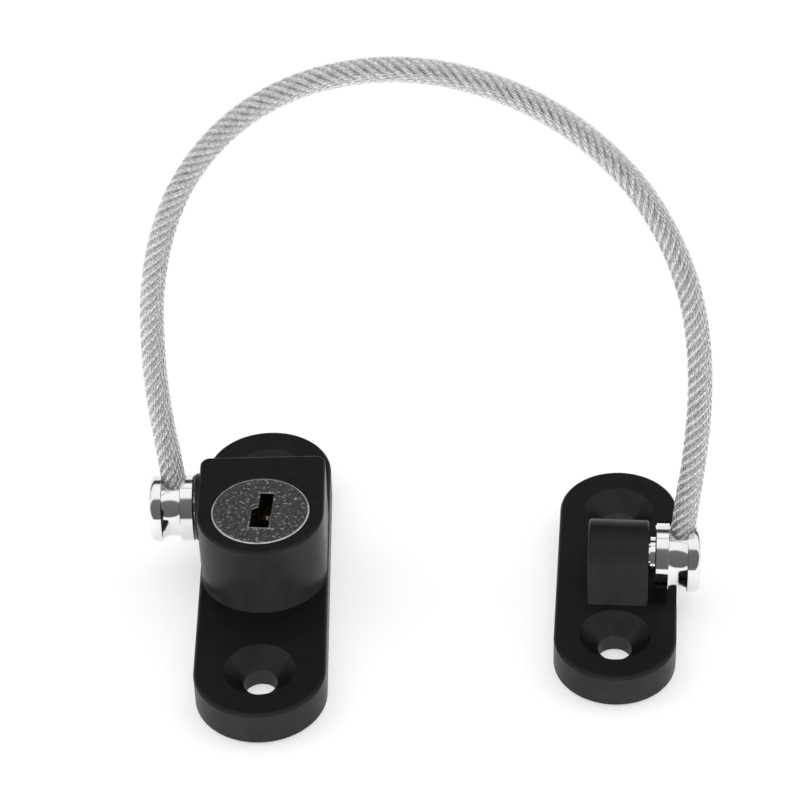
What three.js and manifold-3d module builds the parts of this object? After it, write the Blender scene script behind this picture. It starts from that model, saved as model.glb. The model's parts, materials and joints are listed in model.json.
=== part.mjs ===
// Window restrictor cable: a key-operated lock body and an anchor body, joined by a sheathed wire rope.
// Millimetres, +Z up. The origin is on the underside of the lock body, below the axis of its key plug.
import * as THREE from 'three';
import { mergeVertices } from 'three/addons/utils/BufferGeometryUtils.js';
import Module from 'manifold-3d';

const wasm = await Module();
wasm.setup();

// ---- Driving dimensions ----
const GAP = 0.3; // running gap between pieces that touch
const ROUND = 32; // sides of a round bore or shaft

const BASE = { width: 23.5, length: 77, height: 6.7, edge: 0.5, middle: 0.5 }; // middle: its Y
const LOCK_BLOCK = { front: 11.5, back: 15.2, top: 20.6, corner: 1.8, edge: 0.45 };
const LOCK_SCREW_Y = 26.9; // from the base's middle
const SCREW_HOLE = { mouth: 6.2, throat: 3.05, depth: 3.3 };

const PLUG = { head: 8.95, headBottom: 18.0, body: 5.7, bottom: 3.4 };
const PLUG_LEAN = THREE.MathUtils.degToRad(-5); // the key slot as it stands at rest
const CAM = { radius: 7.1, low: 12.5, high: 15.5, halfAngle: THREE.MathUtils.degToRad(50) };
const WAFER = { count: 5, first: 6.9, pitch: 1.9, thickness: 0.8, halfWidth: 2.1, halfLength: 4.9 };
const CAVITY = { radius: 7.4, top: 6.0 };
const COVER = { radius: 9.9, thickness: 1.2, screwRadius: 8.5, hole: 0.95, sink: 1.2, sinkDepth: 0.6 };
const COVER_SCREW = { head: 1.0, low: 0.1, neck: 0.5, shank: 0.65, tip: 4.6, bore: 1.0, boreEnd: 5.0 };
const PLUG_CLIP = { low: 4.4, high: 5.0, depth: 0.5, lip: 0.9, mouth: 3.2 };
const DETENT = { ball: 1.0, bore: 1.3, height: 9.6, end: -10.4 };

const PIN_A = { y: 8.9, z: 14.0, centre: -16.7 }; // axis along X, centre of its waist
const SPOOL = { flange: 6.15, waist: 5.15, halfWaist: 1.65, groove: 2.1, inner: 2.5, outer: 2.4, round: 1.2 };
const STEM = { radius: 2.8, tip: 7.5, groove: 1.5, halfGroove: 4.4, bore: 3.1, boreEnd: 8.2 };
const STEM_RING = { x: -9.6, groove: 2.1, halfWidth: 0.45, inner: 2.35, outer: 2.9 };
const BOSS = { radius: 6.15, proud: 0.75 };

const ANCHOR = { x: 64.3, y: -2.65, yaw: THREE.MathUtils.degToRad(-4.57) };
const ANCHOR_BASE = { width: 21.8, length: 55.8, height: 6.5, edge: 0.5 };
const ANCHOR_SCREW_Y = 16.7;
const BEARING = { left: -5.3, right: 5.6, radius: 6.6, foot: 9.55 };
const PIN_B = { z: 10.25, centre: 10.9 }; // axis along the anchor's own X
const ANCHOR_STEM = { neck: 3.65, radius: 2.4, end: -4.6, groove: 1.9, grooveLeft: -4.2, grooveRight: -3.2 };
const ANCHOR_WASHER = { radius: 3.4, left: -3.0, right: -2.7 };
const ANCHOR_CLIP = { inner: 2.1, outer: 3.3, left: -3.9, right: -3.5, mouth: 1.5 };
const CLIP_POCKET = { radius: 3.7, floor: -2.4 };
const SPOOL_RECESS = { halfLength: 8.5, floor: 3.6 };

// The cable: its centre line lies in one leaning plane through both pins. Across and up, from pin to pin.
const CABLE = { rope: 1.35, sheathInner: 1.6, sheath: 2.23, lean: THREE.MathUtils.degToRad(15), steps: 64 };
const CABLE_BORE = { length: 14, below: 2.2 }; // below: how far past the cable's end it starts
const FERRULE_LENGTH = 1.2;
const CABLE_ROUTE = [
  [1.0, -1.2], [0.2, 4.6], [-0.9, 10.6], [-2.9, 20.9], [-4.1, 31.3], [-4.4, 41.8],
  [-3.1, 52.2], [0.1, 62.2], [5.6, 71.2], [13.0, 78.6], [22.0, 83.9], [32.0, 87.0],
  [42.4, 87.8], [52.8, 86.3], [62.7, 82.8], [71.7, 77.4], [79.5, 70.4], [85.6, 61.9],
  [90.1, 52.4], [92.7, 42.3], [93.9, 31.8], [94.0, 21.3], [93.6, 13.0], [93.2, 5.6], [92.7, -1.0],
];

// ---- Materials ----
function standard(color, roughness, metalness) {
  return new THREE.MeshStandardMaterial({ color, roughness, metalness });
}

const LOOK = {
  black: standard(0x0b0b0c, 0.5, 0.1),
  chrome: standard(0xd8dadc, 0.12, 1),
  nickel: standard(0x77787a, 0.45, 0.9),
  brass: standard(0xb89b55, 0.35, 1),
  spring: standard(0x9a9da0, 0.3, 1),
  rope: standard(0x9c9fa1, 0.35, 0.9),
  pvc: new THREE.MeshStandardMaterial({ color: 0xe6e8e8, roughness: 0.15, transparent: true, opacity: 0.4 }),
};

// ---- Geometry helpers ----
// One closed surface: position only, shared corners merged, empty triangles dropped, faces pointing out.
function closed(source) {
  const bare = source.clone();
  for (const name of Object.keys(bare.attributes)) if (name !== 'position') bare.deleteAttribute(name);
  const merged = mergeVertices(bare, 1e-4);
  const at = merged.getAttribute('position');
  const corner = [0, 1, 2].map(() => new THREE.Vector3());
  const faces = [];
  let volume = 0;
  for (let i = 0; i < merged.index.count; i += 3) {
    const [a, b, c] = [0, 1, 2].map((k) => merged.index.getX(i + k));
    if (a === b || b === c || c === a) continue;
    [a, b, c].forEach((v, k) => corner[k].fromBufferAttribute(at, v));
    volume += corner[0].dot(corner[1].clone().cross(corner[2]));
    faces.push(a, b, c);
  }
  if (volume < 0) faces.reverse();
  merged.setIndex(faces);
  return merged;
}

function toManifold(geometry) {
  const shape = closed(geometry);
  return new wasm.Manifold(new wasm.Mesh({
    numProp: 3,
    vertProperties: new Float32Array(shape.getAttribute('position').array),
    triVerts: new Uint32Array(shape.index.array),
  }));
}

function toGeometry(manifold) {
  const mesh = manifold.getMesh();
  const geometry = new THREE.BufferGeometry();
  geometry.setAttribute('position', new THREE.BufferAttribute(new Float32Array(mesh.vertProperties), 3));
  geometry.setIndex(Array.from(mesh.triVerts));
  geometry.computeVertexNormals();
  return geometry;
}

// Joins the first list of geometries and cuts the second list out of them.
function solid(adds, cuts = []) {
  let result = toManifold(adds[0]);
  for (const piece of adds.slice(1)) result = result.add(toManifold(piece));
  for (const tool of cuts) result = result.subtract(toManifold(tool));
  return toGeometry(result);
}

function place(geometry, x, y, z) {
  return geometry.translate(x, y, z);
}

// Turns a geometry whose local Z is its length so that the length lies along world X.
function alongX(geometry) {
  const turn = new THREE.Matrix4().set(0, 0, 1, 0, 1, 0, 0, 0, 0, 1, 0, 0, 0, 0, 0, 1);
  return geometry.applyMatrix4(turn);
}

function plate(shape, low, high, edge = 0, curveSegments = 12) {
  const depth = high - low - 2 * edge;
  const bevel = { bevelEnabled: edge > 0, bevelThickness: edge, bevelSize: edge, bevelOffset: -edge };
  const options = { depth, curveSegments, bevelSegments: 1, ...bevel };
  return place(new THREE.ExtrudeGeometry(shape, options), 0, 0, low + edge);
}

function cylinderZ(radius, low, high, topRadius = radius, sides = ROUND) {
  const geometry = new THREE.CylinderGeometry(topRadius, radius, high - low, sides);
  return place(geometry.rotateX(Math.PI / 2), 0, 0, (low + high) / 2);
}

function cylinderX(radius, from, to, y, z, sides = ROUND) {
  const geometry = new THREE.CylinderGeometry(radius, radius, to - from, sides);
  return place(geometry.rotateZ(-Math.PI / 2), (from + to) / 2, y, z);
}

function ringX(inner, outer, from, to, y, z) {
  return solid([cylinderX(outer, from, to, y, z)], [cylinderX(inner, from - 1, to + 1, y, z)]);
}

function box(x0, y0, z0, x1, y1, z1) {
  const geometry = new THREE.BoxGeometry(x1 - x0, y1 - y0, z1 - z0);
  return place(geometry, (x0 + x1) / 2, (y0 + y1) / 2, (z0 + z1) / 2);
}

// A turned piece about X: profile points are [x, radius], from one end on the axis to the other.
function turnedX(profile, y, z) {
  const points = profile.map(([x, radius]) => new THREE.Vector2(radius, x));
  return place(new THREE.LatheGeometry(points, ROUND).rotateZ(-Math.PI / 2), 0, y, z);
}

// A coil spring along local Z, from 0 to length.
function coilSpring(radius, wire, length, turns) {
  class Helix extends THREE.Curve {
    getPoint(t, target = new THREE.Vector3()) {
      const angle = t * turns * 2 * Math.PI;
      return target.set(radius * Math.cos(angle), radius * Math.sin(angle), wire + t * (length - 2 * wire));
    }
  }
  const section = new THREE.Shape().absarc(0, 0, wire, 0, 2 * Math.PI);
  const sweep = { steps: turns * 10, curveSegments: 3, extrudePath: new Helix() };
  return new THREE.ExtrudeGeometry(section, sweep);
}

// ---- Outlines ----
function stadium(width, length) {
  const radius = width / 2;
  const half = length / 2 - radius;
  const shape = new THREE.Shape();
  shape.moveTo(radius, -half);
  shape.lineTo(radius, half);
  shape.absarc(0, half, radius, 0, Math.PI);
  shape.lineTo(-radius, -half);
  shape.absarc(0, -half, radius, Math.PI, 2 * Math.PI);
  return shape;
}

// The raised housing seen from above: round in front, straight at the back with rounded corners.
function housingOutline() {
  const { front, back, corner } = LOCK_BLOCK;
  const shape = new THREE.Shape();
  shape.moveTo(front, 0);
  shape.lineTo(front, back - corner);
  shape.absarc(front - corner, back - corner, corner, 0, Math.PI / 2);
  shape.lineTo(-front + corner, back);
  shape.absarc(-front + corner, back - corner, corner, Math.PI / 2, Math.PI);
  shape.lineTo(-front, 0);
  shape.absarc(0, 0, front, Math.PI, 2 * Math.PI);
  return shape;
}

// The warded key slot: narrower at the back than in front, with a ward that stands in from its right.
function keySlot() {
  const outline = [
    [-0.45, 4.7], [2.0, 4.7], [2.0, -1.3], [1.4, -1.6], [1.4, -2.3],
    [2.0, -2.7], [2.0, -4.6], [-1.55, -4.6], [-1.55, 0.1], [-0.45, 0.9],
  ];
  return new THREE.Shape(outline.map(([x, y]) => new THREE.Vector2(x, y)));
}

// The bearing block of the anchor in its Y-Z plane: a round top about the pin, flanks down to the foot.
function bearingOutline() {
  const { radius, foot } = BEARING;
  const rise = PIN_B.z - (ANCHOR_BASE.height - 1);
  const reach = Math.hypot(foot, rise);
  const flank = Math.acos(radius / reach) - Math.atan2(rise, foot);
  const shape = new THREE.Shape();
  shape.moveTo(foot, -rise);
  shape.absarc(0, 0, radius, flank, Math.PI - flank);
  shape.lineTo(-foot, -rise);
  return shape;
}

function screwHole(y, height) {
  const { mouth, throat, depth } = SCREW_HOLE;
  const slope = (mouth - throat) / depth;
  return [
    place(cylinderZ(throat, -1, height + 1, throat, 32), 0, y, 0),
    place(cylinderZ(throat, height - depth, height + 1, throat + slope * (depth + 1)), 0, y, 0),
  ];
}

// ---- Lock body and its small pieces ----
function lockBody() {
  const { y, z } = PIN_A;
  const adds = [
    place(plate(stadium(BASE.width, BASE.length), 0, BASE.height, BASE.edge), 0, BASE.middle, 0),
    plate(housingOutline(), BASE.height / 2, LOCK_BLOCK.top, LOCK_BLOCK.edge),
    cylinderX(BOSS.radius, -LOCK_BLOCK.front - BOSS.proud, -LOCK_BLOCK.front + 1, y, z),
  ];
  const cuts = [
    ...screwHole(BASE.middle + LOCK_SCREW_Y, BASE.height),
    ...screwHole(BASE.middle - LOCK_SCREW_Y, BASE.height),
    cylinderZ(PLUG.head + GAP, PLUG.headBottom - GAP, LOCK_BLOCK.top + 1),
    cylinderZ(CAM.radius + GAP, CAM.low - GAP, LOCK_BLOCK.top),
    cylinderZ(PLUG.body + GAP, 1, LOCK_BLOCK.top),
    cylinderZ(CAVITY.radius, -1, CAVITY.top),
    cylinderZ(COVER.radius + GAP, -1, COVER.thickness + GAP),
    cylinderX(STEM.bore, -LOCK_BLOCK.front - 2, STEM.boreEnd, y, z),
    detentBore(),
    ...coverScrewPlaces().map((at) => place(coverScrewBore(), at.x, at.y, 0)),
  ];
  return solid(adds, cuts);
}

function coverScrewBore() {
  return cylinderZ(COVER_SCREW.bore, 0, COVER_SCREW.boreEnd, COVER_SCREW.bore, 16);
}

function detentBore() {
  const depth = -DETENT.end - (PLUG.body - 1);
  const geometry = new THREE.CylinderGeometry(DETENT.bore, DETENT.bore, depth, 20);
  return place(geometry, 0, DETENT.end + depth / 2, DETENT.height);
}

function coverScrewPlaces() {
  return [1, -1].map((side) => new THREE.Vector2(0, side * COVER.screwRadius));
}

function coverPlate() {
  const { radius, thickness, hole, sink, sinkDepth } = COVER;
  const cuts = coverScrewPlaces().flatMap((at) => [
    place(cylinderZ(hole, -1, thickness + 1, hole, 16), at.x, at.y, 0),
    place(cylinderZ(sink, -1, sinkDepth, sink, 20), at.x, at.y, 0),
  ]);
  return solid([cylinderZ(radius, 0, thickness)], cuts);
}

function coverScrew(at) {
  const { head, low, neck, shank, tip } = COVER_SCREW;
  const top = cylinderZ(head, low, neck, head, 20);
  const thread = cylinderZ(shank, (low + neck) / 2, tip, shank, 16);
  const drive = box(-0.7 * head, -0.15 * head, 0, 0.7 * head, 0.15 * head, low + 0.15);
  return place(solid([top, thread], [drive]), at.x, at.y, 0);
}

function detentBall() {
  const y = -PLUG.body - GAP - DETENT.ball;
  return place(new THREE.SphereGeometry(DETENT.ball, 16, 12), 0, y, DETENT.height);
}

function detentSpring() {
  const length = -DETENT.end - PLUG.body - 2 * GAP - 2 * DETENT.ball - 0.1;
  const coil = coilSpring(0.8, 0.15, length, 3).rotateX(-Math.PI / 2);
  return place(coil, 0, DETENT.end + 0.1, DETENT.height);
}

// ---- Key plug ----
function keyPlug() {
  const cam = new THREE.Shape();
  cam.absarc(0, 0, CAM.radius, -CAM.halfAngle, CAM.halfAngle);
  cam.lineTo(0, 0);
  const adds = [
    cylinderZ(PLUG.head, PLUG.headBottom, LOCK_BLOCK.top - 0.25),
    cylinderZ(PLUG.head, LOCK_BLOCK.top - 0.3, LOCK_BLOCK.top, PLUG.head - 0.3),
    cylinderZ(PLUG.body, PLUG.bottom, LOCK_BLOCK.top - 1),
    plate(cam, CAM.low, CAM.high, 0, 10),
  ];
  const cuts = [
    plate(keySlot(), PLUG.bottom + 1.6, LOCK_BLOCK.top + 1).rotateZ(PLUG_LEAN),
    clipRing(PLUG.body - PLUG_CLIP.depth - GAP, PLUG.body + 1, PLUG_CLIP.low - GAP, PLUG_CLIP.high + GAP),
    ...waferHeights().map(waferSlot),
  ];
  return solid(adds, cuts);
}

function clipRing(inner, outer, low, high) {
  return solid([cylinderZ(outer, low, high)], [cylinderZ(inner, low - 1, high + 1)]);
}

function plugClip() {
  const { low, high, depth, lip, mouth } = PLUG_CLIP;
  const opening = box(0, -mouth, 0, 2 * PLUG.body, mouth, 2 * high);
  return solid([clipRing(PLUG.body - depth, PLUG.body + lip, low, high)], [opening]);
}

function waferHeights() {
  return Array.from({ length: WAFER.count }, (_, i) => WAFER.first + i * WAFER.pitch);
}

function waferSlot(height) {
  const { halfWidth, halfLength, thickness } = WAFER;
  const w = halfWidth + GAP;
  const l = halfLength + GAP;
  return box(-w, -l, height - GAP, w, l, height + thickness + GAP).rotateZ(PLUG_LEAN);
}

function wafer(height) {
  const { halfWidth, halfLength, thickness } = WAFER;
  const blank = box(-halfWidth, -halfLength, height, halfWidth, halfLength, height + thickness);
  const window = box(-1.3, -3.4, height - 1, 1.3, 3.4, height + 2);
  return solid([blank], [window]).rotateZ(PLUG_LEAN);
}

// ---- Spools: the turned pins that hold the ends of the cable ----
// The profile of a spool from its domed outer face to the back of its inner flange, along +X.
function spoolProfile(centre) {
  const { flange, waist, halfWaist, groove, inner, outer, round } = SPOOL;
  const face = centre - halfWaist - outer;
  const points = [[face, 0], [face, flange - round]];
  for (let i = 1; i <= 4; i += 1) {
    const angle = (i / 4) * (Math.PI / 2);
    points.push([face + round * (1 - Math.cos(angle)), flange - round + round * Math.sin(angle)]);
  }
  points.push([centre - halfWaist, flange]);
  for (let i = 0; i <= 8; i += 1) {
    const across = (i / 4 - 1) * halfWaist;
    points.push([centre + across, waist + groove - Math.sqrt(groove ** 2 - across ** 2)]);
  }
  points.push([centre + halfWaist, flange]);
  points.push([centre + halfWaist + inner, flange]);
  return points;
}

// The bore that takes an end of the cable, from past the pin's axis out through the waist.
function cableBore(end, direction) {
  const { length, below } = CABLE_BORE;
  const geometry = new THREE.CylinderGeometry(CABLE.sheath + GAP, CABLE.sheath + GAP, length, 24);
  const turn = new THREE.Quaternion().setFromUnitVectors(new THREE.Vector3(0, 1, 0), direction);
  const middle = end.clone().addScaledVector(direction, length / 2 - below);
  return geometry.applyQuaternion(turn).translate(middle.x, middle.y, middle.z);
}

function lockPin() {
  const { radius, tip, groove, halfGroove } = STEM;
  const { x, groove: ringGroove, halfWidth } = STEM_RING;
  const slot = halfWidth + GAP;
  const profile = [
    ...spoolProfile(PIN_A.centre),
    [PIN_A.centre + SPOOL.halfWaist + SPOOL.inner, radius],
    [x - slot, radius], [x - slot, ringGroove], [x + slot, ringGroove], [x + slot, radius],
    [-halfGroove, radius], [-halfGroove, groove], [halfGroove, groove], [halfGroove, radius],
    [tip - 0.8, radius], [tip, radius - 0.8], [tip, 0],
  ];
  return solid([turnedX(profile, PIN_A.y, PIN_A.z)], [cableBore(cableEnds.lock, cableEnds.lockWay)]);
}

function stemRing() {
  const { x, inner, outer, halfWidth } = STEM_RING;
  const ring = ringX(inner, outer, x - halfWidth, x + halfWidth, PIN_A.y, PIN_A.z);
  const mouth = box(x - 2, PIN_A.y, PIN_A.z - 0.9, x + 2, PIN_A.y + 5, PIN_A.z + 0.9);
  return solid([ring], [mouth]);
}

// ---- Anchor: built about its own centre, then turned and moved to its place ----
function toAnchor(geometry) {
  return geometry.rotateZ(ANCHOR.yaw).translate(ANCHOR.x, ANCHOR.y, 0);
}

function fromAnchor(x, y, z) {
  return new THREE.Vector3(x, y, z).applyAxisAngle(new THREE.Vector3(0, 0, 1), ANCHOR.yaw)
    .add(new THREE.Vector3(ANCHOR.x, ANCHOR.y, 0));
}

function anchorBody() {
  const { left, right } = BEARING;
  const width = right - left;
  const options = { depth: width, curveSegments: 24, bevelEnabled: false };
  const bearing = new THREE.ExtrudeGeometry(bearingOutline(), options);
  const edge = ANCHOR_BASE.width;
  const adds = [
    plate(stadium(ANCHOR_BASE.width, ANCHOR_BASE.length), 0, ANCHOR_BASE.height, ANCHOR_BASE.edge),
    place(alongX(bearing), left, 0, PIN_B.z),
  ];
  const { halfLength, floor } = SPOOL_RECESS;
  const cuts = [
    ...screwHole(ANCHOR_SCREW_Y, ANCHOR_BASE.height),
    ...screwHole(-ANCHOR_SCREW_Y, ANCHOR_BASE.height),
    box(right, -halfLength, floor, edge, halfLength, edge),
    cylinderX(ANCHOR_STEM.radius + GAP, left - 1, right + 1, 0, PIN_B.z),
    cylinderX(CLIP_POCKET.radius, left - 1, CLIP_POCKET.floor, 0, PIN_B.z),
  ];
  return toAnchor(solid(adds, cuts));
}

function anchorPin() {
  const { neck, radius, end, groove, grooveLeft, grooveRight } = ANCHOR_STEM;
  const shoulder = BEARING.right + GAP;
  const mirrored = spoolProfile(-PIN_B.centre).map(([x, r]) => [-x, r]);
  const profile = [
    ...mirrored,
    [PIN_B.centre - SPOOL.halfWaist - SPOOL.inner, neck], [shoulder, neck], [shoulder, radius],
    [grooveRight, radius], [grooveRight, groove], [grooveLeft, groove], [grooveLeft, radius],
    [end, radius], [end, 0],
  ];
  const turned = toAnchor(turnedX(profile, 0, PIN_B.z));
  return solid([turned], [cableBore(cableEnds.anchor, cableEnds.anchorWay)]);
}

function anchorWasher() {
  const { radius, left, right } = ANCHOR_WASHER;
  return toAnchor(ringX(ANCHOR_STEM.radius + GAP, radius, left, right, 0, PIN_B.z));
}

function anchorClip() {
  const { inner, outer, left, right, mouth } = ANCHOR_CLIP;
  const ring = ringX(inner, outer, left, right, 0, PIN_B.z);
  const opening = box(left - 1, -mouth, PIN_B.z - 2 * outer, right + 1, mouth, PIN_B.z);
  return toAnchor(solid([ring], [opening]));
}

// ---- Cable ----
function cableCurve() {
  const start = new THREE.Vector3(PIN_A.centre, PIN_A.y, PIN_A.z);
  const across = fromAnchor(PIN_B.centre, 0, PIN_B.z).sub(start).normalize();
  const up = new THREE.Vector3(0, Math.sin(CABLE.lean), Math.cos(CABLE.lean));
  up.addScaledVector(across, -up.dot(across)).normalize();
  const points = CABLE_ROUTE.map(([s, h]) => start.clone().addScaledVector(across, s).addScaledVector(up, h));
  return new THREE.CatmullRomCurve3(points, false, 'centripetal');
}

const cableLine = cableCurve();
const cableEnds = {
  lock: cableLine.getPointAt(0),
  lockWay: cableLine.getTangentAt(0.02),
  anchor: cableLine.getPointAt(1),
  anchorWay: cableLine.getTangentAt(0.98).negate(),
};

function cableTube(outer, inner = 0) {
  const section = new THREE.Shape().absarc(0, 0, outer, 0, 2 * Math.PI);
  if (inner > 0) section.holes.push(new THREE.Path().absarc(0, 0, inner, 0, 2 * Math.PI, true));
  return new THREE.ExtrudeGeometry(section, { steps: CABLE.steps, curveSegments: 5, extrudePath: cableLine });
}

// A pressed cap that closes an end of the cable at the bottom of its bore.
function ferrule(end, direction) {
  const geometry = new THREE.CylinderGeometry(CABLE.sheath, CABLE.sheath, FERRULE_LENGTH, 24);
  const turn = new THREE.Quaternion().setFromUnitVectors(new THREE.Vector3(0, 1, 0), direction);
  const middle = end.clone().addScaledVector(direction, -GAP - 0.15 - FERRULE_LENGTH / 2);
  return geometry.applyQuaternion(turn).translate(middle.x, middle.y, middle.z);
}

// ---- Assembly ----
const product = new THREE.Group();

function add(name, geometry, material) {
  const mesh = new THREE.Mesh(closed(geometry), material);
  mesh.geometry.computeVertexNormals();
  mesh.name = name;
  product.add(mesh);
}

add('lock_body', lockBody(), LOOK.black);
add('cover_plate', coverPlate(), LOOK.nickel);
coverScrewPlaces().forEach((at, i) => add(`cover_screw_${i + 1}`, coverScrew(at), LOOK.spring));
add('detent_ball', detentBall(), LOOK.spring);
add('detent_spring', detentSpring(), LOOK.spring);
add('key_plug', keyPlug(), LOOK.nickel);
waferHeights().forEach((height, i) => add(`wafer_${i + 1}`, wafer(height), LOOK.brass));
add('plug_clip', plugClip(), LOOK.spring);
add('stem_ring', stemRing(), LOOK.spring);
add('lock_pin', lockPin(), LOOK.chrome);
add('ferrule_lock_end', ferrule(cableEnds.lock, cableEnds.lockWay), LOOK.brass);
add('wire_rope', cableTube(CABLE.rope), LOOK.rope);
add('cable_sheath', cableTube(CABLE.sheath, CABLE.sheathInner), LOOK.pvc);
add('ferrule_anchor_end', ferrule(cableEnds.anchor, cableEnds.anchorWay), LOOK.brass);
add('anchor_pin', anchorPin(), LOOK.chrome);
add('anchor_body', anchorBody(), LOOK.black);
add('anchor_washer', anchorWasher(), LOOK.nickel);
add('anchor_clip', anchorClip(), LOOK.spring);

export default product;
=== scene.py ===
import json
import math

import bmesh
import bpy
from mathutils import Matrix, Vector


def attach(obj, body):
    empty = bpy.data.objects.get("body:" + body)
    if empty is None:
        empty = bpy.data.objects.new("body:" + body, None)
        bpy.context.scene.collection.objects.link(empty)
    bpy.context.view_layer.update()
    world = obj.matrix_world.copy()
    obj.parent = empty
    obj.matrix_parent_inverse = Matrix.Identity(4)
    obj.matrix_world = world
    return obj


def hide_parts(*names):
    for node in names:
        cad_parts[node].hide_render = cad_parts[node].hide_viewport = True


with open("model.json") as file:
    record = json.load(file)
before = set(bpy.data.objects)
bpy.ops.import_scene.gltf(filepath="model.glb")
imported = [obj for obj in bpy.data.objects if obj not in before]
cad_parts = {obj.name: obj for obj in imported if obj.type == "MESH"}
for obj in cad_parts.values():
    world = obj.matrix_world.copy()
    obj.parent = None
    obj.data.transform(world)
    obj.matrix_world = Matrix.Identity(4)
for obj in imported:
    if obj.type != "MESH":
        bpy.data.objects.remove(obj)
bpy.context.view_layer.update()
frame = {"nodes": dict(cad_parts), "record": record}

MM = 0.001
TAU = 2 * math.pi

# ---- Driving sizes, in millimetres, as in the CAD model ----
BASE = {"width": 23.5, "length": 77.0, "height": 6.7, "middle": 0.5}
BLOCK = {"front": 11.5, "back": 15.2, "top": 20.6, "corner": 1.8}
LOCK_SCREW_Y = 26.9
HOLE = {"mouth": 6.2, "throat": 3.05, "depth": 3.3}
PLUG = {"head": 8.95, "head_bottom": 18.0, "body": 5.7, "bottom": 3.4, "lean": math.radians(-5)}
CAM = {"radius": 7.1, "low": 12.5, "high": 15.5, "half": math.radians(50)}
CAVITY = {"radius": 7.4, "top": 6.0}
COVER = {"radius": 9.9, "thickness": 1.2}
PIN_A = Vector((-16.7, 8.9, 14.0))
SPOOL = {
    "flange": 6.15, "waist": 5.15, "half": 1.65, "groove": 3.2, "inner": 2.5, "outer": 2.4, "round": 1.2,
    "edge": 0.12, "back_edge": 0.2,
}
STEM = {"radius": 2.8, "tip": 7.5, "groove": 1.5, "half": 4.4, "bore": 3.1, "end": 8.2, "chamfer": 0.8}
STEM_RING = {"groove": 2.1, "left": -10.35, "right": -8.85}
BOSS = {"radius": 6.15, "proud": 0.75}
ANCHOR = {"x": 64.3, "y": -2.65, "yaw": math.radians(-4.57)}
ANCHOR_BASE = {"width": 21.8, "length": 55.8, "height": 6.5}
ANCHOR_SCREW_Y = 16.7
BEARING = {"left": -5.3, "right": 5.6, "radius": 6.6, "foot": 9.55}
PIN_B = {"z": 10.25, "centre": 10.9}
ANCHOR_STEM = {"neck": 3.65, "radius": 2.4, "end": 4.6, "groove": 1.9, "groove_from": 3.2, "groove_to": 4.2}
CLIP_POCKET = {"radius": 3.7, "floor": -2.4}
RECESS = {"half": 8.5, "floor": 3.6}

# The key slot's outline in the plug's face, and where its rims carry a rolled burr.
KEY_SLOT = [
    (-0.45, 4.7), (2.0, 4.7), (2.0, -1.3), (1.4, -1.6), (1.4, -2.3),
    (2.0, -2.7), (2.0, -4.6), (-1.55, -4.6), (-1.55, 0.1), (-0.45, 0.9),
]
BURRS = [
    ((-0.6, 4.8), (2.1, 4.8)), ((-1.8, -4.7), (2.1, -4.7)), ((-1.6, 0.2), (-0.5, 1.0)),
    ((1.4, -1.5), (1.5, -2.4)), ((-1.7, -4.5), (-1.65, -3.0)),
]
BURR = {"radius": 0.11, "wave": 0.05, "flat": 0.6, "steps": 24, "sides": 8}

# Rounded edges of the castings: foot and top of a base, flare at the housing's foot, top of the blocks.
SOFT = {"foot": 0.3, "top": 0.7, "flare": 1.0, "housing": 0.55, "bearing": 0.5, "mouth": 0.25}

# ---- The cable: across and up from the lock's pin to the anchor's, in one leaning plane ----
CABLE = {
    "sheath": 2.23, "bore": 1.0, "wire": 0.165, "lay": 11.5, "strand_lay": 8.0, "lean": math.radians(15),
    "step": 0.6, "strands": 6,
}
ROUTE = [
    (1.0, -1.2), (0.2, 4.6), (-0.9, 10.6), (-2.9, 20.9), (-4.1, 31.3), (-4.4, 41.8),
    (-3.1, 52.2), (0.1, 62.2), (5.6, 71.2), (13.0, 78.6), (22.0, 83.9), (32.0, 87.0),
    (42.4, 87.8), (52.8, 86.3), (62.7, 82.8), (71.7, 77.4), (79.5, 70.4), (85.6, 61.9),
    (90.1, 52.4), (92.7, 42.3), (93.9, 31.8), (94.0, 21.3), (93.6, 13.0), (93.2, 5.6), (92.7, -1.0),
]


# ---- Camera and light: angles in degrees, distance and target in metres, focal length in mm ----
CAMERA = {
    "azimuth": -1.0817, "elevation": 39.1868, "roll": -1.9293, "distance": 0.58755,
    "target": Vector((0.024762, 0.055876, 0)), "lens": 132.925, "sensor": 36,
}
FILL = {"energy": 14.0, "angle": 25, "elevation": 7}
WORLD_STRENGTH = 1.05
# Brightness by the angle about the X axis, from straight behind the object, over it, to in front of it.
WORLD_LEVELS = [
    (0, 0.9), (26, 0.9), (32, 0.05), (46, 0.05), (53, 1.0), (106, 1.0), (113, 0.16), (178, 0.12),
]
FLOOR_DROP = 0.0002


def add_camera():
    azimuth, elevation, roll = (math.radians(CAMERA[key]) for key in ("azimuth", "elevation", "roll"))
    away = Vector((
        math.sin(azimuth) * math.cos(elevation),
        math.cos(azimuth) * math.cos(elevation),
        -math.sin(elevation),
    ))
    side = Vector((math.cos(azimuth), -math.sin(azimuth), 0))
    up = side.cross(away)
    turned = side * math.cos(roll) + up * math.sin(roll)
    lifted = up * math.cos(roll) - side * math.sin(roll)
    camera = bpy.data.objects.new("camera", bpy.data.cameras.new("camera"))
    camera.data.lens, camera.data.sensor_width = CAMERA["lens"], CAMERA["sensor"]
    camera.data.clip_start, camera.data.clip_end = 0.05, 20
    basis = Matrix((turned, lifted, -away)).transposed().to_4x4()
    camera.matrix_world = Matrix.Translation(CAMERA["target"] - away * CAMERA["distance"]) @ basis
    bpy.context.scene.collection.objects.link(camera)
    bpy.context.scene.camera = camera


# ---- Mesh helpers ----
def new_piece(name, points, faces):
    """A mesh object from points in millimetres."""
    mesh = bpy.data.meshes.new(name)
    mesh.from_pydata([tuple(Vector(p) * MM) for p in points], [], faces)
    mesh.update()
    piece = bpy.data.objects.new(name, mesh)
    bpy.context.scene.collection.objects.link(piece)
    return piece


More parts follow.
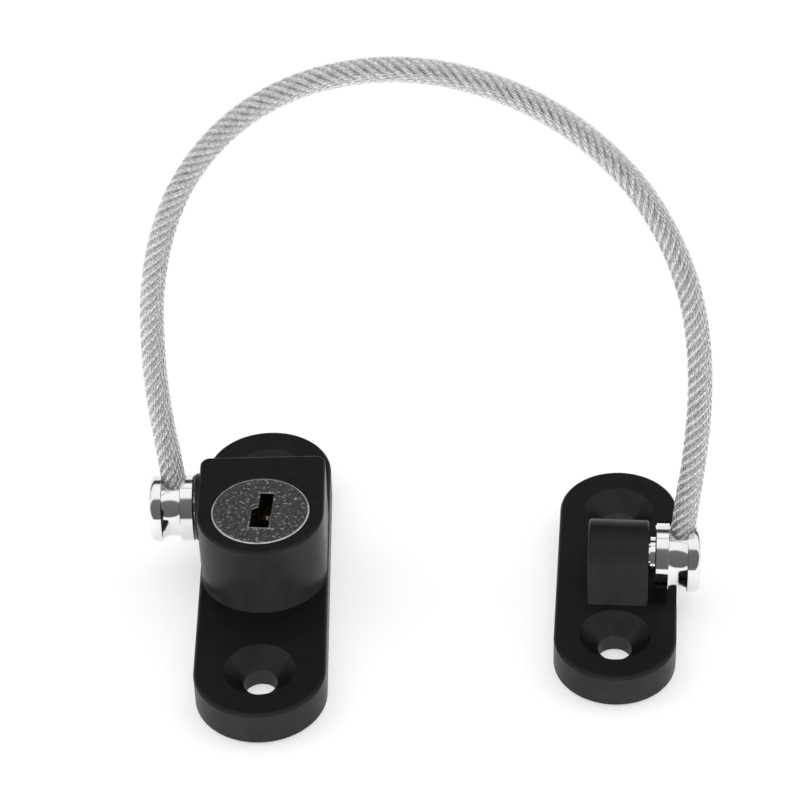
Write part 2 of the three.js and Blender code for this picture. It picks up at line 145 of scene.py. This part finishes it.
def lofted(name, rings, capped=True):
    """Joins rings of equal length, in order, into one closed skin."""
    count = len(rings[0])
    points = [p for ring in rings for p in ring]
    faces = []
    for row in range(len(rings) - 1):
        for i in range(count):
            a, b = row * count + i, row * count + (i + 1) % count
            faces.append((a, b, b + count, a + count))
    if capped:
        faces.append(tuple(reversed(range(count))))
        last = (len(rings) - 1) * count
        faces.append(tuple(range(last, last + count)))
    piece = new_piece(name, points, faces)
    face_out(piece)
    return piece


def face_out(piece):
    mesh = bmesh.new()
    mesh.from_mesh(piece.data)
    bmesh.ops.remove_doubles(mesh, verts=mesh.verts, dist=0.5e-6)
    bmesh.ops.recalc_face_normals(mesh, faces=mesh.faces)
    mesh.to_mesh(piece.data)
    mesh.free()


def turned(name, profile, sides=96, place=None):
    """A turned piece about Z: profile points are (radius, height), with both ends on the axis."""
    points, rows = [], []
    for radius, height in profile:
        if radius <= 1e-6:
            rows.append([len(points)])
            points.append((0, 0, height))
        else:
            rows.append(list(range(len(points), len(points) + sides)))
            points += [
                (radius * math.cos(TAU * i / sides), radius * math.sin(TAU * i / sides), height)
                for i in range(sides)
            ]
    faces = []
    for low, high in zip(rows, rows[1:]):
        for i in range(sides):
            j = (i + 1) % sides
            if len(low) == 1:
                faces.append((low[0], high[j], high[i]))
            elif len(high) == 1:
                faces.append((low[i], low[j], high[0]))
            else:
                faces.append((low[i], low[j], high[j], high[i]))
    if place is not None:
        points = [place @ Vector(p) for p in points]
    piece = new_piece(name, points, faces)
    face_out(piece)
    return piece


def along_x(x=0.0, y=0.0, z=0.0):
    """Places a turned piece with its axis along +X."""
    return Matrix.Translation((x, y, z)) @ Matrix.Rotation(math.pi / 2, 4, "Y")


def rod(name, radius, start, end, place=None, sides=64):
    return turned(name, [(0, start), (radius, start), (radius, end), (0, end)], sides, place)


def block(name, low, high):
    xs, ys, zs = zip(low, high)
    points = [(x, y, z) for z in zs for y in ys for x in xs]
    faces = [(0, 2, 3, 1), (4, 5, 7, 6), (0, 1, 5, 4), (2, 6, 7, 3), (0, 4, 6, 2), (1, 3, 7, 5)]
    return new_piece(name, points, faces)


def applied(piece):
    """Replaces the piece's mesh by what its modifiers make of it."""
    depsgraph = bpy.context.evaluated_depsgraph_get()
    mesh = bpy.data.meshes.new_from_object(piece.evaluated_get(depsgraph), depsgraph=depsgraph)
    piece.modifiers.clear()
    old, piece.data = piece.data, mesh
    bpy.data.meshes.remove(old)
    return piece


def combined(piece, tools, operation):
    for tool in tools:
        modifier = piece.modifiers.new(operation, "BOOLEAN")
        modifier.operation, modifier.solver, modifier.object = operation, "EXACT", tool
        applied(piece)
        bpy.data.objects.remove(tool)
    return piece


def cut(piece, tools):
    return combined(piece, tools, "DIFFERENCE")


def joined(piece, tools):
    return combined(piece, tools, "UNION")


def softened(piece, width=0.12, angle=40, segments=2):
    """Rounds the sharp edges a little and shades the piece smoothly between them."""
    if width > 0:
        bevel = piece.modifiers.new("edges", "BEVEL")
        bevel.limit_method, bevel.angle_limit = "ANGLE", math.radians(angle)
        bevel.width, bevel.segments = width * MM, segments
        bevel.use_clamp_overlap = True
        applied(piece)
    mesh = bmesh.new()
    mesh.from_mesh(piece.data)
    for face in mesh.faces:
        face.smooth = True
    for edge in mesh.edges:
        edge.smooth = len(edge.link_faces) == 2 and edge.calc_face_angle(0) < math.radians(angle)
    mesh.to_mesh(piece.data)
    mesh.free()
    weighted = piece.modifiers.new("normals", "WEIGHTED_NORMAL")
    weighted.keep_sharp, weighted.weight = True, 80
    return applied(piece)


# ---- Outlines ----
def stadium(width, length, inset=0.0, arc=40):
    radius = width / 2 - inset
    centre = length / 2 - width / 2
    front = [(math.pi + math.pi * i / arc, -centre) for i in range(arc + 1)]
    back = [(math.pi * i / arc, centre) for i in range(arc + 1)]
    return [(radius * math.cos(t), y + radius * math.sin(t)) for t, y in front + back]


def housing(inset=0.0, arc=56):
    """The raised housing from above: round in front, with a straight back and rounded corners."""
    radius, back = BLOCK["front"] - inset, BLOCK["back"] - inset
    corner = max(BLOCK["corner"] - inset, 0.3)
    points = [(radius * math.cos(t), radius * math.sin(t))
              for t in (math.pi + math.pi * i / arc for i in range(arc + 1))]
    for side, start in ((1, 0), (-1, math.pi / 2)):
        centre = Vector((side * (radius - corner), back - corner))
        for i in range(9):
            t = start + math.pi / 2 * i / 8
            points.append((centre.x + corner * math.cos(t), centre.y + corner * math.sin(t)))
    return points


def edge_rings(low, high, low_round, high_round, steps=6):
    """(inset, height) pairs of a wall with a rounded foot and a rounded top edge."""
    pairs = []
    for i in range(steps + 1):
        t = math.pi / 2 * i / steps
        pairs.append((low_round * (1 - math.sin(t)), low + low_round * (1 - math.cos(t))))
    for i in range(steps + 1):
        t = math.pi / 2 * i / steps
        pairs.append((high_round * (1 - math.cos(t)), high - high_round * (1 - math.sin(t))))
    return pairs


def raised(outline, height):
    return [(x, y, height) for x, y in outline]


# ---- Placing ----
def anchor_place():
    return Matrix.Translation((ANCHOR["x"], ANCHOR["y"], 0)) @ Matrix.Rotation(ANCHOR["yaw"], 4, "Z")


def move(piece, matrix):
    """Moves the piece's mesh by a matrix in millimetres."""
    scale = Matrix.Diagonal((MM, MM, MM, 1))
    piece.data.transform(scale @ matrix @ scale.inverted())
    return piece


def show(piece, body, slot, material, *nodes):
    piece.data.materials.clear()
    piece.data.materials.append(material)
    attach(piece, body)
    if nodes:
        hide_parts(*nodes)
    return piece


# ---- Cable route ----
def arch_points(step):
    """Evenly spaced points along the cable's centre line, in millimetres."""
    end = anchor_place() @ Vector((PIN_B["centre"], 0, PIN_B["z"]))
    across = (end - PIN_A).normalized()
    up = Vector((0, math.sin(CABLE["lean"]), math.cos(CABLE["lean"])))
    up = (up - across * up.dot(across)).normalized()
    knots = [PIN_A + across * s + up * h for s, h in ROUTE]
    fine = spline(knots, 24)
    return evenly(fine, step), across.cross(up).normalized()


def spline(knots, pieces):
    """A centripetal Catmull-Rom curve through the knots."""
    padded = [knots[0] * 2 - knots[1], *knots, knots[-1] * 2 - knots[-2]]
    points = []
    for p0, p1, p2, p3 in zip(padded, padded[1:], padded[2:], padded[3:]):
        t1 = (p1 - p0).length ** 0.5
        t2 = t1 + (p2 - p1).length ** 0.5
        t3 = t2 + (p3 - p2).length ** 0.5
        for i in range(pieces):
            t = t1 + (t2 - t1) * i / pieces
            a1 = p0 * ((t1 - t) / t1) + p1 * (t / t1)
            a2 = p1 * ((t2 - t) / (t2 - t1)) + p2 * ((t - t1) / (t2 - t1))
            a3 = p2 * ((t3 - t) / (t3 - t2)) + p3 * ((t - t2) / (t3 - t2))
            b1 = a1 * ((t2 - t) / t2) + a2 * (t / t2)
            b2 = a2 * ((t3 - t) / (t3 - t1)) + a3 * ((t - t1) / (t3 - t1))
            points.append(b1 * ((t2 - t) / (t2 - t1)) + b2 * ((t - t1) / (t2 - t1)))
    return [*points, knots[-1]]


def evenly(points, step):
    lengths = [0.0]
    for a, b in zip(points, points[1:]):
        lengths.append(lengths[-1] + (b - a).length)
    count = round(lengths[-1] / step)
    result, i = [], 0
    for k in range(count + 1):
        goal = lengths[-1] * k / count
        while i < len(points) - 2 and lengths[i + 1] < goal:
            i += 1
        share = (goal - lengths[i]) / (lengths[i + 1] - lengths[i])
        result.append(points[i].lerp(points[i + 1], share))
    return result


def cable_frames(points, normal):
    """(point, direction, side, normal) at each point: the route is flat, so one normal serves."""
    frames = []
    for i, point in enumerate(points):
        ahead = points[min(i + 1, len(points) - 1)] - points[max(i - 1, 0)]
        direction = ahead.normalized()
        frames.append((point, direction, normal.cross(direction), normal))
    return frames


def strand_section(wire, lobe_points=6):
    """Outline of six wires laid round one: (angle, radius) pairs."""
    outline = []
    for lobe in range(6):
        for i in range(lobe_points):
            off = math.radians(-30 + 60 * i / lobe_points)
            radius = 2 * wire * math.cos(off) + math.sqrt(wire ** 2 - (2 * wire * math.sin(off)) ** 2)
            outline.append((math.radians(60 * lobe) + off, radius))
    return outline


def make_strand(index, frames, step):
    """One strand of the rope: a bundle of wires that winds round the core strand."""
    wire = CABLE["wire"]
    centre_radius = 6 * wire
    section = strand_section(wire)
    rings = []
    for k, (point, _, side, normal) in enumerate(frames):
        turn = TAU * k * step / CABLE["lay"] + TAU * index / CABLE["strands"]
        out = side * math.cos(turn) + normal * math.sin(turn)
        around = normal * math.cos(turn) - side * math.sin(turn)
        centre = point + out * centre_radius
        twist = -TAU * k * step * (1 / CABLE["strand_lay"] + 1 / CABLE["lay"])
        rings.append([
            centre + out * (r * math.cos(a + twist)) + around * (r * math.sin(a + twist))
            for a, r in section
        ])
    return lofted(f"rope_strand_{index + 1}", rings)


def make_core(frames):
    """The rope's straight middle strand, under the others."""
    radius, sides = 3.1 * CABLE["wire"], 12
    angles = [TAU * i / sides for i in range(sides)]
    rings = [
        [point + (side * math.cos(t) + normal * math.sin(t)) * radius for t in angles]
        for point, _, side, normal in frames[::2]
    ]
    return lofted("rope_core", rings)


def make_sheath(frames, sides=48):
    """A thick clear tube: outer skin, inner skin and two end rims."""
    def ring(place, radius):
        point, _, side, normal = place
        angles = (TAU * i / sides for i in range(sides))
        return [point + (side * math.cos(t) + normal * math.sin(t)) * radius for t in angles]

    outer = [ring(f, CABLE["sheath"]) for f in frames]
    inner = [ring(f, CABLE["bore"]) for f in reversed(frames)]
    return lofted("clear_sheath", [*outer, *inner, outer[0]], capped=False)


def add_cable(materials):
    step = CABLE["step"]
    points, normal = arch_points(step)
    frames = cable_frames(points, normal)
    sheath = make_sheath(frames[::2] + ([frames[-1]] if len(frames) % 2 == 0 else []))
    for face in sheath.data.polygons:
        face.use_smooth = True
    show(sheath, "cable", "clear_pvc", materials["pvc"], "cable_sheath")
    strands = [make_strand(i, frames, step) for i in range(CABLE["strands"])]
    for strand in [*strands, make_core(frames)]:
        for face in strand.data.polygons:
            face.use_smooth = True
        show(strand, "cable", "steel", materials["rope"])
    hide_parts("wire_rope")
    return points


# ---- Materials ----
class Look:
    """A node material with a Principled shader and helpers to feed it."""

    def __init__(self, name, **values):
        self.material = bpy.data.materials.new(name)
        self.material.use_nodes = True
        self.tree = self.material.node_tree
        self.shader = self.tree.nodes["Principled BSDF"]
        for key, value in values.items():
            self.shader.inputs[key.replace("_", " ")].default_value = value
        self.place = self.tree.nodes.new("ShaderNodeTexCoord").outputs["Object"]

    def link(self, output, target):
        self.tree.links.new(output, target)

    def noise(self, scale, detail=4.0, rough=0.55, stretch=None):
        node = self.tree.nodes.new("ShaderNodeTexNoise")
        node.inputs["Scale"].default_value = scale
        node.inputs["Detail"].default_value = detail
        node.inputs["Roughness"].default_value = rough
        source = self.place
        if stretch:
            mapping = self.tree.nodes.new("ShaderNodeMapping")
            mapping.inputs["Scale"].default_value = stretch
            self.link(source, mapping.inputs["Vector"])
            source = mapping.outputs["Vector"]
        self.link(source, node.inputs["Vector"])
        return node.outputs["Fac"]

    def ramp(self, source, *stops):
        node = self.tree.nodes.new("ShaderNodeValToRGB")
        elements = node.color_ramp.elements
        while len(elements) < len(stops):
            elements.new(0.5)
        for element, (position, colour) in zip(elements, stops):
            element.position = position
            element.color = (*colour, 1) if len(colour) == 3 else colour
        self.link(source, node.inputs["Fac"])
        return node.outputs["Color"]

    def spread(self, source, low, high):
        node = self.tree.nodes.new("ShaderNodeMapRange")
        node.inputs["From Min"].default_value, node.inputs["From Max"].default_value = 0.3, 0.7
        node.inputs["To Min"].default_value, node.inputs["To Max"].default_value = low, high
        self.link(source, node.inputs["Value"])
        return node.outputs["Result"]

    def colour(self, source):
        self.link(source, self.shader.inputs["Base Color"])

    def roughness(self, source):
        self.link(source, self.shader.inputs["Roughness"])

    def bump(self, source, height, strength=1.0):
        node = self.tree.nodes.new("ShaderNodeBump")
        node.inputs["Strength"].default_value = strength
        node.inputs["Distance"].default_value = height * MM
        self.link(source, node.inputs["Height"])
        previous = self.shader.inputs["Normal"].links
        if previous:
            self.link(previous[0].from_socket, node.inputs["Normal"])
        self.link(node.outputs["Normal"], self.shader.inputs["Normal"])


def grey(value):
    return (value, value, value)


def black_coat():
    """Satin black coating over a die casting: fine orange peel and slight cloudiness."""
    look = Look("black_coat", Metallic=0.0, Specular_IOR_Level=0.12)
    look.colour(look.ramp(look.noise(260, 5), (0.3, grey(0.0045)), (0.7, grey(0.0065))))
    look.roughness(look.spread(look.noise(420, 6), 0.3, 0.4))
    look.bump(look.noise(2600, 3), 0.010, 0.5)
    look.bump(look.noise(300, 4), 0.02, 0.5)
    return look.material


def cast_face():
    """The key plug's face: rough cast metal, dark, with bright specks and a painted highlight, a bright
    ring of colour at the rim.
    """
    look = Look("cast_face", Metallic=1.0)
    specks = look.ramp(look.noise(1500, 8, 0.75), (0.42, grey(0.07)), (0.57, grey(0.11)), (0.64, grey(0.8)))
    # Painted highlight: the base colour turns bright in a ring near the face's rim, blended in by the
    # distance from the axis.
    reach = look.tree.nodes.new("ShaderNodeVectorMath")
    reach.operation = "LENGTH"
    flat = look.tree.nodes.new("ShaderNodeMapping")
    flat.inputs["Scale"].default_value = (1, 1, 0)
    look.link(look.place, flat.inputs["Vector"])
    look.link(flat.outputs["Vector"], reach.inputs[0])
    share = look.tree.nodes.new("ShaderNodeMapRange")
    share.inputs["From Min"].default_value = (PLUG["head"] - 0.45) * MM
    share.inputs["From Max"].default_value = (PLUG["head"] - 0.25) * MM
    look.link(reach.outputs["Value"], share.inputs["Value"])
    rim_highlight_mix = look.tree.nodes.new("ShaderNodeMix")
    rim_highlight_mix.data_type = "RGBA"
    look.link(share.outputs["Result"], rim_highlight_mix.inputs[0])
    look.link(specks, rim_highlight_mix.inputs[6])
    look.link(look.ramp(look.noise(700, 5), (0.3, grey(0.5)), (0.7, grey(0.9))), rim_highlight_mix.inputs[7])
    look.colour(rim_highlight_mix.outputs[2])
    look.roughness(look.spread(look.noise(900, 6), 0.3, 0.6))
    look.bump(look.noise(1300, 8, 0.7), 0.10, 0.8)
    return look.material


def chrome():
    """Polished plating over turned steel: faint turning marks and handling haze."""
    look = Look("chrome_plate", Metallic=1.0, Base_Color=(0.86, 0.87, 0.88, 1))
    look.colour(look.ramp(look.noise(180, 4), (0.3, (0.78, 0.79, 0.8)), (0.7, (0.9, 0.905, 0.91))))
    look.roughness(look.spread(look.noise(500, 5), 0.06, 0.14))
    look.bump(look.noise(1.0, 2, stretch=(5200, 60, 60)), 0.004, 0.25)
    return look.material


def rope_steel():
    """Drawn galvanised wire: bright, with fine variation from wire to wire."""
    look = Look("rope_steel", Metallic=0.98)
    look.colour(look.ramp(look.noise(900, 4), (0.3, grey(0.74)), (0.7, grey(0.97))))
    look.roughness(look.spread(look.noise(1500, 3), 0.16, 0.3))
    look.bump(look.noise(3500, 2), 0.006, 0.3)
    return look.material


def clear_pvc():
    look = Look("clear_pvc", Transmission_Weight=1.0, IOR=1.5, Base_Color=(0.97, 0.975, 0.975, 1))
    look.roughness(look.spread(look.noise(600, 4), 0.01, 0.04))
    look.bump(look.noise(250, 3), 0.02, 0.12)
    return look.material


def plain_metal(name, colour, low, high, scale=800):
    look = Look(name, Metallic=1.0)
    dim = tuple(0.8 * c for c in colour)
    look.colour(look.ramp(look.noise(scale, 5), (0.3, dim), (0.7, colour)))
    look.roughness(look.spread(look.noise(1.7 * scale, 4), low, high))
    look.bump(look.noise(2 * scale, 4), 0.01, 0.4)
    return look.material


def make_materials():
    return {
        "black": black_coat(),
        "face": cast_face(),
        "chrome": chrome(),
        "rope": rope_steel(),
        "pvc": clear_pvc(),
        "zinc": plain_metal("zinc_plate", (0.5, 0.5, 0.52), 0.3, 0.5),
        "steel": plain_metal("spring_steel", (0.6, 0.61, 0.62), 0.2, 0.35),
        "brass": plain_metal("wafer_brass", (0.72, 0.55, 0.25), 0.25, 0.4),
    }


# ---- Lock ----
def countersink(y, height, name="countersink"):
    mouth, throat, depth = HOLE["mouth"], HOLE["throat"], HOLE["depth"]
    soft = SOFT["mouth"]
    profile = [(0, -1), (throat, -1), (throat, height - depth)]
    profile += [(mouth - soft * 0.6, height - soft), (mouth + 0.12, height + 0.02)]
    wide, above = mouth + 0.4, height + 3
    profile += [(wide, height + 0.5), (wide, above), (0, above)]
    return turned(name, profile, 96, Matrix.Translation((0, y, 0)))


def make_housing():
    base = lofted("lock_housing", [
        raised(stadium(BASE["width"], BASE["length"], inset), z)
        for inset, z in edge_rings(0, BASE["height"], SOFT["foot"], SOFT["top"])
    ])
    move(base, Matrix.Translation((0, BASE["middle"], 0)))
    flare = SOFT["flare"]
    foot = []
    for i in range(7):
        t = math.pi / 2 * i / 6
        foot.append((-flare * (1 - math.sin(t)), BASE["height"] - 0.1 + flare * (1 - math.cos(t))))
    top = [p for p in edge_rings(0, BLOCK["top"], 0, SOFT["housing"]) if p[1] > BASE["height"] + flare]
    limit = BLOCK["front"] - 0.02
    walls = [[(max(-limit, min(limit, x)), y, z) for x, y, z in raised(housing(inset), z)]
             for inset, z in [(-flare, 4.5), *foot]]
    walls += [raised(housing(inset), z) for inset, z in top]
    tower = lofted("tower", walls)
    boss = rod("boss", BOSS["radius"], -BLOCK["front"] - BOSS["proud"], -BLOCK["front"] + 1,
               along_x(0, PIN_A.y, PIN_A.z), 96)
    joined(base, [tower, boss])
    tools = [
        countersink(BASE["middle"] + LOCK_SCREW_Y, BASE["height"]),
        countersink(BASE["middle"] - LOCK_SCREW_Y, BASE["height"]),
        rod("head_bore", PLUG["head"] + 0.12, PLUG["head_bottom"] - 0.3, BLOCK["top"] + 1, sides=128),
        rod("cam_bore", CAM["radius"] + 0.3, CAM["low"] - 0.3, PLUG["head_bottom"]),
        rod("plug_bore", PLUG["body"] + 0.3, 3, PLUG["head_bottom"]),
        rod("cavity", CAVITY["radius"], -1, CAVITY["top"]),
        rod("cover_seat", COVER["radius"] + 0.15, -1, COVER["thickness"] + 0.2),
        rod("stem_bore", STEM["bore"], -BLOCK["front"] - 2, STEM["end"], along_x(0, PIN_A.y, PIN_A.z)),
    ]
    cut(base, tools)
    return softened(base, 0.1)


def key_slot():
    floor, top = PLUG["bottom"] + 1.6, BLOCK["top"] + 1
    slot = lofted("slot", [raised(KEY_SLOT, z) for z in (floor, top)])
    return move(slot, Matrix.Rotation(PLUG["lean"], 4, "Z"))


def make_plug():
    radius, top = PLUG["head"], BLOCK["top"]
    profile = [
        (0, PLUG["bottom"]), (PLUG["body"] - 0.3, PLUG["bottom"]), (PLUG["body"], PLUG["bottom"] + 0.3),
        (PLUG["body"], PLUG["head_bottom"]), (radius, PLUG["head_bottom"]), (radius, top - 0.35),
        (radius - 0.1, top - 0.12), (radius - 0.35, top), (0, top),
    ]
    plug = turned("plug_barrel", profile, 128)
    arc = [CAM["half"] * (-1 + i / 12) for i in range(25)]
    outline = [(0, 0)] + [(CAM["radius"] * math.cos(t), CAM["radius"] * math.sin(t)) for t in arc]
    cam = lofted("cam", [raised(outline, z) for z in (CAM["low"], CAM["high"])])
    joined(plug, [cam])
    cut(plug, [key_slot()])
    return softened(plug, 0.08)


def make_burr(number, start, end):
    """A rolled metal burr along one rim of the key slot: start and end are (x, y) in the plug's face."""
    a, b = Vector((*start, BLOCK["top"])), Vector((*end, BLOCK["top"]))
    side, up = (b - a).normalized().cross(Vector((0, 0, 1))), Vector((0, 0, BURR["flat"]))
    steps, sides = BURR["steps"], BURR["sides"]
    rings = []
    for i in range(steps + 1):
        wave = BURR["wave"] * math.sin(2.7 * i + number) * math.sin(1.3 * i + 2 * number)
        radius = BURR["radius"] + wave
        centre = a.lerp(b, i / steps) + side * wave
        angles = (TAU * k / sides for k in range(sides))
        rings.append([centre + (side * math.cos(t) + up * math.sin(t)) * radius for t in angles])
    burr = lofted(f"slot_burr_{number}", rings)
    move(burr, Matrix.Rotation(PLUG["lean"], 4, "Z"))
    return softened(burr, 0)


# ---- Spools ----
def spool_profile(centre):
    """From the middle of the outer face to the back of the inner flange: (radius, distance along X)."""
    half, flange, edge = SPOOL["half"], SPOOL["flange"], SPOOL["edge"]
    face = centre - half - SPOOL["outer"]
    soft = SPOOL["round"]
    points = [(0, face), (flange - soft - 0.4, face)]
    for i in range(11):
        t = math.pi / 2 * i / 10
        points.append((flange - soft + soft * math.sin(t), face + soft * (1 - math.cos(t))))
    points += [(flange, centre - half - edge), (flange - edge, centre - half)]
    for i in range(17):
        across = (i / 8 - 1) * half
        dip = SPOOL["groove"] - math.sqrt(SPOOL["groove"] ** 2 - across ** 2)
        points.append((SPOOL["waist"] + dip, centre + across))
    points += [(flange - edge, centre + half), (flange, centre + half + edge)]
    back, edge = centre + half + SPOOL["inner"], SPOOL["back_edge"]
    points += [(flange, back - edge), (flange - edge, back)]
    return points


def cable_bore(end, way):
    turn = way.to_track_quat("Z", "Y").to_matrix().to_4x4()
    return rod("cable_bore", CABLE["sheath"] + 0.08, -2.2, 14, Matrix.Translation(end) @ turn, 72)


def make_lock_spool(points):
    radius, tip, half, chamfer = STEM["radius"], STEM["tip"], STEM["half"], STEM["chamfer"]
    groove, left, right = STEM_RING["groove"], STEM_RING["left"], STEM_RING["right"]
    profile = spool_profile(PIN_A.x)
    profile += [
        (radius, PIN_A.x + SPOOL["half"] + SPOOL["inner"]),
        (radius, left), (groove, left), (groove, right), (radius, right),
        (radius, -half), (STEM["groove"], -half), (STEM["groove"], half), (radius, half),
        (radius, tip - chamfer), (radius - chamfer, tip), (0, tip),
    ]
    spool = turned("lock_spool", profile, 128, along_x(0, PIN_A.y, PIN_A.z))
    cut(spool, [cable_bore(points[0], (points[10] - points[0]).normalized())])
    return softened(spool, 0)


def make_anchor_spool(points):
    shoulder = BEARING["right"] + 0.3
    neck, radius, end = ANCHOR_STEM["neck"], ANCHOR_STEM["radius"], ANCHOR_STEM["end"]
    groove, low, high = ANCHOR_STEM["groove"], ANCHOR_STEM["groove_from"], ANCHOR_STEM["groove_to"]
    profile = spool_profile(-PIN_B["centre"])
    profile += [
        (neck, -PIN_B["centre"] + SPOOL["half"] + SPOOL["inner"]), (neck, -shoulder),
        (radius, -shoulder), (radius, low), (groove, low), (groove, high), (radius, high),
        (radius, end), (0, end),
    ]
    place = anchor_place() @ Matrix.Translation((0, 0, PIN_B["z"])) @ Matrix.Rotation(-math.pi / 2, 4, "Y")
    spool = turned("anchor_spool", profile, 128, place)
    cut(spool, [cable_bore(points[-1], (points[-11] - points[-1]).normalized())])
    return softened(spool, 0)


# ---- Anchor ----
def bearing_outline(inset, arc=48):
    """The bearing block in its Y-Z plane: a round top about the pin and straight flanks."""
    radius = BEARING["radius"] - inset
    foot, drop = BEARING["foot"] - inset, PIN_B["z"] - ANCHOR_BASE["height"] + 1
    flank = math.acos(radius / math.hypot(foot, drop)) - math.atan2(drop, foot)
    points = [(foot, -drop)]
    points += [(radius * math.cos(t), radius * math.sin(t))
               for t in (flank + (math.pi - 2 * flank) * i / arc for i in range(arc + 1))]
    return [*points, (-foot, -drop)]


def make_anchor():
    base = lofted("anchor_casting", [
        raised(stadium(ANCHOR_BASE["width"], ANCHOR_BASE["length"], inset), z)
        for inset, z in edge_rings(0, ANCHOR_BASE["height"], SOFT["foot"], SOFT["top"])
    ])
    width = BEARING["right"] - BEARING["left"]
    rings = [
        [(BEARING["left"] + x, y, PIN_B["z"] + z) for y, z in bearing_outline(inset)]
        for inset, x in edge_rings(0, width, SOFT["bearing"], SOFT["bearing"])
    ]
    joined(base, [lofted("bearing", rings)])
    pin = along_x(0, 0, PIN_B["z"])
    side = ANCHOR_BASE["width"]
    tools = [
        countersink(ANCHOR_SCREW_Y, ANCHOR_BASE["height"]),
        countersink(-ANCHOR_SCREW_Y, ANCHOR_BASE["height"]),
        block(
            "recess",
            (BEARING["right"] + 0.02, -RECESS["half"], RECESS["floor"]),
            (side, RECESS["half"], side),
        ),
        rod("pin_bore", ANCHOR_STEM["radius"] + 0.15, BEARING["left"] - 1, BEARING["right"] + 1, pin),
        rod("clip_pocket", CLIP_POCKET["radius"], BEARING["left"] - 1, CLIP_POCKET["floor"], pin),
    ]
    cut(base, tools)
    return move(softened(base, 0), anchor_place())


# ---- Stage and light ----
def add_stage():
    """A pale floor under the object."""
    reach = 3000
    corners = [(-reach, -reach, 0), (reach, -reach, 0), (reach, reach, 0), (-reach, reach, 0)]
    floor = new_piece("floor", corners, [(0, 1, 2, 3)])
    look = Look("floor", Roughness=0.9, Specular_IOR_Level=0.1)
    look.colour(look.ramp(look.noise(6, 2), (0.3, grey(0.9)), (0.7, grey(0.92))))
    floor.data.materials.append(look.material)
    floor.location.z = -FLOOR_DROP


def add_world():
    """Soft studio light by direction: bright back and top, a dark gap between, dim in front."""
    world = bpy.data.worlds.new("studio")
    bpy.context.scene.world = world
    world.use_nodes = True
    tree = world.node_tree
    background = tree.nodes["Background"]
    coordinate = tree.nodes.new("ShaderNodeTexCoord")
    parts = tree.nodes.new("ShaderNodeSeparateXYZ")
    angle = tree.nodes.new("ShaderNodeMath")
    angle.operation = "ARCTAN2"
    share = tree.nodes.new("ShaderNodeMath")
    share.operation = "DIVIDE"
    share.inputs[1].default_value = math.pi
    ramp = tree.nodes.new("ShaderNodeValToRGB")
    ramp.color_ramp.interpolation = "LINEAR"
    elements = ramp.color_ramp.elements
    while len(elements) < len(WORLD_LEVELS):
        elements.new(0.5)
    for element, (degrees, level) in zip(elements, WORLD_LEVELS):
        element.position = degrees / 180
        element.color = (*grey(level), 1)
    tree.links.new(coordinate.outputs["Generated"], parts.inputs[0])
    tree.links.new(parts.outputs["Z"], angle.inputs[0])
    tree.links.new(parts.outputs["Y"], angle.inputs[1])
    tree.links.new(angle.outputs[0], share.inputs[0])
    tree.links.new(share.outputs[0], ramp.inputs["Fac"])
    tree.links.new(ramp.outputs["Color"], background.inputs["Color"])
    background.inputs["Strength"].default_value = WORLD_STRENGTH


def add_fill():
    """A wide, low fill light from in front, for matt surfaces only: it casts no shadow or highlight."""
    light = bpy.data.lights.new("fill", "SUN")
    light.energy, light.angle = FILL["energy"], math.radians(FILL["angle"])
    light.use_shadow = False
    fill = bpy.data.objects.new("fill", light)
    fill.visible_glossy = False
    fill.visible_transmission = False
    fill.rotation_euler = (math.radians(90 - FILL["elevation"]), 0, 0)
    bpy.context.scene.collection.objects.link(fill)


def main():
    bpy.context.scene.view_settings.view_transform = "Standard"
    add_camera()
    materials = make_materials()
    points = add_cable(materials)
    show(make_housing(), "lock", "black_coat", materials["black"], "lock_body")
    show(make_plug(), "plug", "zinc", materials["face"], "key_plug")
    for number, (start, end) in enumerate(BURRS, 1):
        show(make_burr(number, start, end), "plug", "zinc", materials["zinc"])
    show(make_lock_spool(points), "cable", "chrome_plate", materials["chrome"], "lock_pin")
    show(make_anchor_spool(points), "cable", "chrome_plate", materials["chrome"], "anchor_pin")
    show(make_anchor(), "anchor", "black_coat", materials["black"], "anchor_body")
    slots = {"zinc": "zinc", "steel": "steel", "brass": "brass"}
    for row in frame["record"]["subparts"]:
        node = frame["nodes"][row["node"]]
        if row["material_slot"] in slots and not node.hide_render:
            node.data.materials.clear()
            node.data.materials.append(materials[slots[row["material_slot"]]])
    add_stage()
    add_world()
    add_fill()


main()
